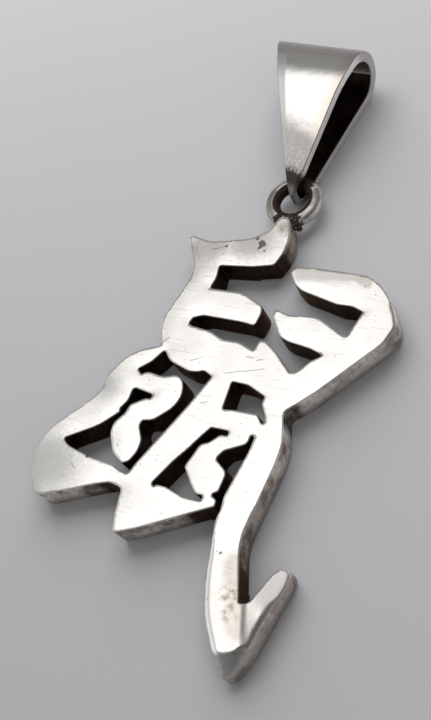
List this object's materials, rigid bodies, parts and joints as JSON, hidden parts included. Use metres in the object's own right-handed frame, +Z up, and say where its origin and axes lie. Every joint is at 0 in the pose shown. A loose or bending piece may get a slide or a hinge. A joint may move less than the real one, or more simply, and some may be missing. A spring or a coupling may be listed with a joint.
{
  "type": "pendant",
  "caption": "Pierced silver plate pendant sawn to the outline of a traditional written sign, with a soldered jump ring and a folded tapered bail for a chain.",
  "frame": {"origin": "middle of the pendant's footprint, on the surface that it lies on", "axes": "+Z up out of the polished face, +Y along the hanging line from the plate to the bail, +X to the right"},
  "size_m": [0.0308, 0.0628, 0.0063],
  "materials": {
    "plate_silver": "polished silver with fine scratches, and dark tarnish on the sawn walls",
    "bail_silver": "polished silver, speckled grey towards the nose and dark inside the loop"
  },
  "bodies": {
    "root": {"sawn_plate": "plate_silver", "bail": "bail_silver"}
  },
  "joints": []
}
